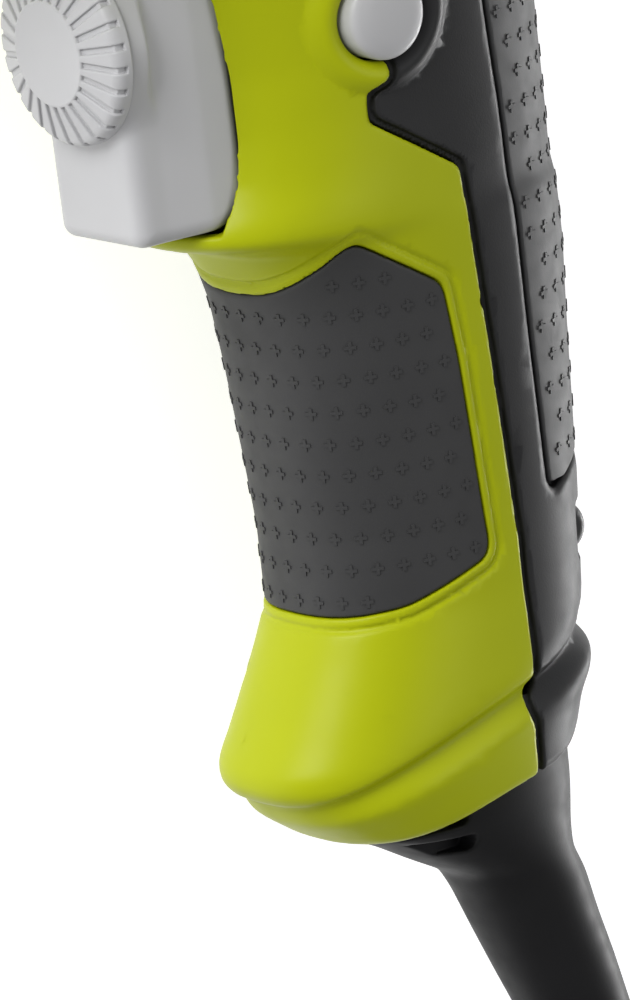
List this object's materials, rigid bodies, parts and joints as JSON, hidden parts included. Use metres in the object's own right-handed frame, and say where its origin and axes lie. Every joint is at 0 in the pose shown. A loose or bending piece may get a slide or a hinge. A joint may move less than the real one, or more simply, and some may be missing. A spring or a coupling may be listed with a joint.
{
  "type": "corded drill",
  "caption": "Corded pistol-grip drill with speed-dial trigger, lock-on button, keyed three-jaw chuck, cord guard, coiled mains cord and plug",
  "frame": {"origin": "middle of the underside of the drill as it lies on its right side, without its cord", "axes": "-X forward along the barrel to the chuck, +Y up the grip to the barrel, +Z towards the drill's left side"},
  "size_m": [0.2456, 0.4063, 0.072],
  "materials": {
    "lime_plastic": "moulded satin, lime green",
    "dark_plastic": "fine grained, dark grey",
    "grip_rubber": "soft touch, small raised plus signs",
    "pale_plastic": "satin, light grey",
    "black_rubber": "fine grained black",
    "black_plastic": "matt black",
    "cast_alloy": "die cast, blasted",
    "lamination": "stacked sheet steel",
    "copper": "enamelled copper",
    "brass": "bright",
    "carbon": "pressed carbon",
    "chuck_steel": "turned and blackened",
    "steel": "ground"
  },
  "bodies": {
    "drill": {"bearing_plate": "cast_alloy", "brush_holder_left": "brass", "brush_holder_right": "brass", "carbon_brush_left": "carbon", "carbon_brush_right": "carbon", "cord_clamp": "black_plastic", "cord_coil": "black_rubber", "cord_guard": "black_rubber", "cord_lead": "black_rubber", "cord_tail": "black_rubber", "fan_baffle": "black_plastic", "field_coil_left": "copper", "field_coil_right": "copper", "front_bearing": "steel", "front_grip_pad": "grip_rubber", "gear_case": "cast_alloy", "gear_case_screw_1": "steel", "gear_case_screw_2": "steel", "gear_case_screw_3": "steel", "gear_case_screw_4": "steel", "housing_left": "lime_plastic", "housing_right": "lime_plastic", "housing_screw_1": "steel", "housing_screw_2": "steel", "housing_screw_3": "steel", "housing_screw_4": "steel", "housing_screw_5": "steel", "jackshaft_bush": "brass", "lock_spring": "steel", "plug_blade_1": "brass", "plug_blade_2": "brass", "plug_body": "black_rubber", "rear_bearing": "steel", "rear_cover": "dark_plastic", "rear_grip_pad": "grip_rubber", "spindle_bearing": "steel", "stator_core": "lamination", "switch_body": "black_plastic", "trigger_spring": "steel"},
    "trigger_body": {"trigger": "pale_plastic", "switch_plunger": "black_plastic"},
    "dial": {"speed_dial": "pale_plastic"},
    "button": {"lock_on_button": "pale_plastic"},
    "lever": {"reversing_lever": "pale_plastic"},
    "armature": {"armature_shaft": "steel", "armature_core": "lamination", "commutator": "copper", "fan": "black_plastic"},
    "jackshaft_body": {"jackshaft": "steel", "intermediate_gear": "steel"},
    "spindle_body": {"spindle": "steel", "output_gear": "steel", "chuck_body": "chuck_steel", "chuck_screw": "steel"},
    "sleeve": {"chuck_sleeve": "chuck_steel", "chuck_nut": "steel"},
    "jaw_1": {"chuck_jaw_1": "steel"},
    "jaw_2": {"chuck_jaw_2": "steel"},
    "jaw_3": {"chuck_jaw_3": "steel"},
    "key": {"chuck_key": "steel"}
  },
  "joints": [
    {"name": "trigger_slide", "type": "slide", "parent": "drill", "child": "trigger_body", "axis": [0.9877, 0.1564, 0], "range_m": [0, 0.007], "stiffness_N_per_m": 600, "springref_m": -0.006, "deforming": ["trigger_spring"]},
    {"name": "dial_turn", "type": "hinge", "parent": "trigger_body", "child": "dial", "pos_m": [0.00111, 0.01114, 0.036], "axis": [0.9877, 0.1564, 0], "range_deg": [0, 720]},
    {"name": "lock_button_press", "type": "slide", "parent": "drill", "child": "button", "axis": [0, 0, -1], "range_m": [0, 0.003], "stiffness_N_per_m": 500, "springref_m": -0.002, "deforming": ["lock_spring"]},
    {"name": "reversing_swing", "type": "hinge", "parent": "drill", "child": "lever", "pos_m": [0.0371, 0.03638, 0.036], "axis": [-0.1564, 0.9877, 0], "range_deg": [-11, 11]},
    {"name": "armature_spin", "type": "hinge", "parent": "drill", "child": "armature", "pos_m": [0, 0.0718, 0.036], "axis": [-1, 0, 0], "continuous": true},
    {"name": "jackshaft_spin", "type": "hinge", "parent": "drill", "child": "jackshaft_body", "pos_m": [0, 0.05605, 0.036], "axis": [-1, 0, 0], "continuous": true},
    {"name": "spindle_spin", "type": "hinge", "parent": "drill", "child": "spindle_body", "pos_m": [0, 0.07495, 0.036], "axis": [-1, 0, 0], "continuous": true},
    {"name": "sleeve_turn", "type": "hinge", "parent": "spindle_body", "child": "sleeve", "pos_m": [0, 0.07495, 0.036], "axis": [-1, 0, 0], "range_deg": [0, 1800]},
    {"name": "jaw_1_slide", "type": "slide", "parent": "spindle_body", "child": "jaw_1", "axis": [0.9511, -0.309, 0], "range_m": [0, 0.014]},
    {"name": "jaw_2_slide", "type": "slide", "parent": "spindle_body", "child": "jaw_2", "axis": [0.9511, 0.1545, 0.2676], "range_m": [0, 0.014]},
    {"name": "jaw_3_slide", "type": "slide", "parent": "spindle_body", "child": "jaw_3", "axis": [0.9511, 0.1545, -0.2676], "range_m": [0, 0.014]},
    {"name": "key_pull", "type": "slide", "parent": "drill", "child": "key", "axis": [0.9877, 0.1564, 0], "range_m": [0, 0.03]}
  ],
  "couplings": [
    {"joint": "jackshaft_spin", "follows": "armature_spin", "ratio": -0.25},
    {"joint": "spindle_spin", "follows": "armature_spin", "ratio": 0.078125},
    {"joint": "jaw_1_slide", "follows": "sleeve_turn", "m_per_rad": 0.00044563},
    {"joint": "jaw_2_slide", "follows": "sleeve_turn", "m_per_rad": 0.00044563},
    {"joint": "jaw_3_slide", "follows": "sleeve_turn", "m_per_rad": 0.00044563}
  ]
}
